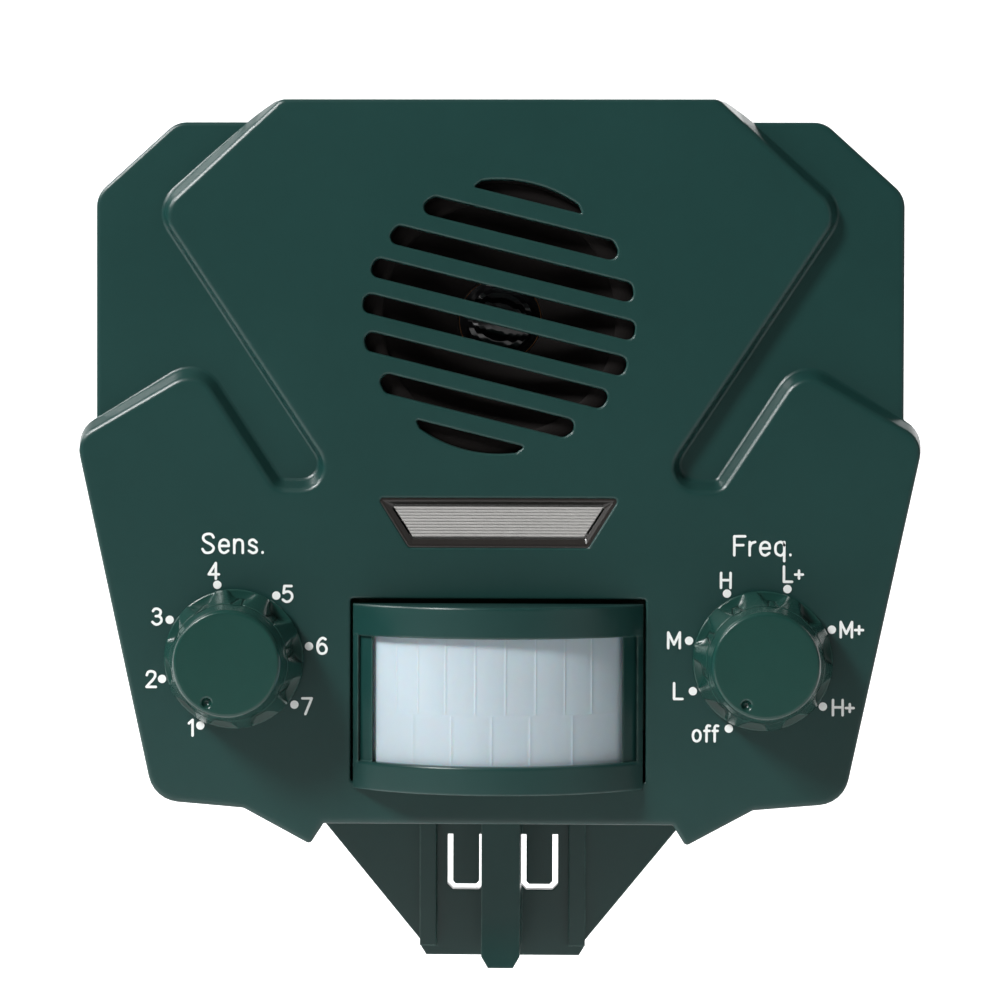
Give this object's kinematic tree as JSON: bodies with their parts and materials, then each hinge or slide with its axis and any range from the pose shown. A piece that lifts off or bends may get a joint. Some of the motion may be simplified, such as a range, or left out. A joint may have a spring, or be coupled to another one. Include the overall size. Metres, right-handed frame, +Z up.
{
  "type": "ultrasonic pest repeller",
  "caption": "Garden ultrasonic pest repeller with speaker grille, strobe, motion sensor, two rotary dials, battery bay and a foot that slides onto a ground stake.",
  "frame": {"origin": "Middle of the lower end of the foot plate, on the plate's front face, where the ground stake's head bears. It is the pose of the mount stake_channel.", "axes": "+X is to the right as one faces the grille, -Y is out of the face, +Z is up."},
  "size_m": [0.156, 0.0713, 0.1643],
  "materials": {
    "casing_green": "moulded, fine grain, semi-gloss",
    "knob_green": "moulded, glossy",
    "rubber_black": "soft, matt",
    "steel": "zinc plated",
    "black_plastic": "moulded black",
    "speaker_film": "thin glossy film",
    "copper_winding": "enamelled copper wire",
    "ferrite": "sintered ferrite",
    "lead_wire": "insulated lead",
    "clear_lens": "clear ribbed polycarbonate",
    "reflector": "vacuum metallised",
    "circuit_board": "solder mask",
    "ivory_plastic": "moulded",
    "brass_pin": "plain",
    "white_lens": "milky polyethylene, faceted",
    "sensor_metal": "nickel plated",
    "control_body": "moulded",
    "capacitor_sleeve": "shrunk sleeve",
    "chip_black": "moulded epoxy",
    "cell_sleeve": "plain printed sleeve"
  },
  "bodies": {
    "casing": {"front_shell": "casing_green", "rear_shell": "casing_green", "case_seal": "rubber_black", "case_screws": "steel", "speaker_frame": "black_plastic", "speaker_surround": "rubber_black", "speaker_cone": "speaker_film", "speaker_dust_cap": "speaker_film", "voice_coil": "copper_winding", "speaker_magnet": "ferrite", "speaker_yoke": "steel", "speaker_screws": "steel", "speaker_wires": "lead_wire", "strobe_bezel": "black_plastic", "strobe_lens": "clear_lens", "strobe_reflector": "reflector", "strobe_board": "circuit_board", "strobe_lamps": "ivory_plastic", "strobe_pins": "brass_pin", "sensor_housing": "casing_green", "sensor_lens": "white_lens", "sensor_board": "circuit_board", "sensor_can": "sensor_metal", "sensor_pins": "brass_pin", "sensitivity_control": "control_body", "sensitivity_seal": "rubber_black", "frequency_switch": "control_body", "frequency_seal": "rubber_black", "main_board": "circuit_board", "board_screws": "steel", "capacitors": "capacitor_sleeve", "step_up_coil": "copper_winding", "control_chips": "chip_black", "wire_sockets": "ivory_plastic", "battery_tray": "black_plastic", "battery_cell_1": "cell_sleeve", "battery_cell_2": "cell_sleeve", "battery_cell_3": "cell_sleeve", "battery_cell_4": "cell_sleeve", "contact_springs": "steel", "contact_plates": "steel", "battery_wires": "lead_wire", "door_seal": "rubber_black", "door_hinge_pins": "steel", "door_insert": "brass_pin", "power_inlet": "black_plastic", "inlet_pin": "steel", "inlet_wires": "lead_wire"},
    "sensitivity_dial": {"sensitivity_knob": "knob_green", "sensitivity_shaft": "steel"},
    "frequency_dial": {"frequency_knob": "knob_green", "frequency_shaft": "steel"},
    "door": {"battery_door": "casing_green"},
    "thumb_screw": {"door_screw": "steel"},
    "cover": {"inlet_cover": "rubber_black"}
  },
  "joints": [
    {"name": "sensitivity_turn", "type": "hinge", "parent": "casing", "child": "sensitivity_dial", "pos_m": [-0.0488, -0.045, 0.0609], "axis": [0, 1, 0], "range_deg": [0, 280]},
    {"name": "frequency_turn", "type": "hinge", "parent": "casing", "child": "frequency_dial", "pos_m": [0.0488, -0.045, 0.0609], "axis": [0, 1, 0], "range_deg": [0, 280]},
    {"name": "door_swing", "type": "hinge", "parent": "casing", "child": "door", "pos_m": [0, 0.007, 0.0408], "axis": [-1, 0, 0], "range_deg": [0, 110]},
    {"name": "door_screw_turn", "type": "hinge", "parent": "door", "child": "thumb_screw", "pos_m": [0, 0.008, 0.1104], "axis": [0, 1, 0], "continuous": true},
    {"name": "inlet_cover_swing", "type": "hinge", "parent": "casing", "child": "cover", "pos_m": [0.05, 0.0056, 0.1286], "axis": [1, 0, 0], "range_deg": [0, 110]}
  ]
}
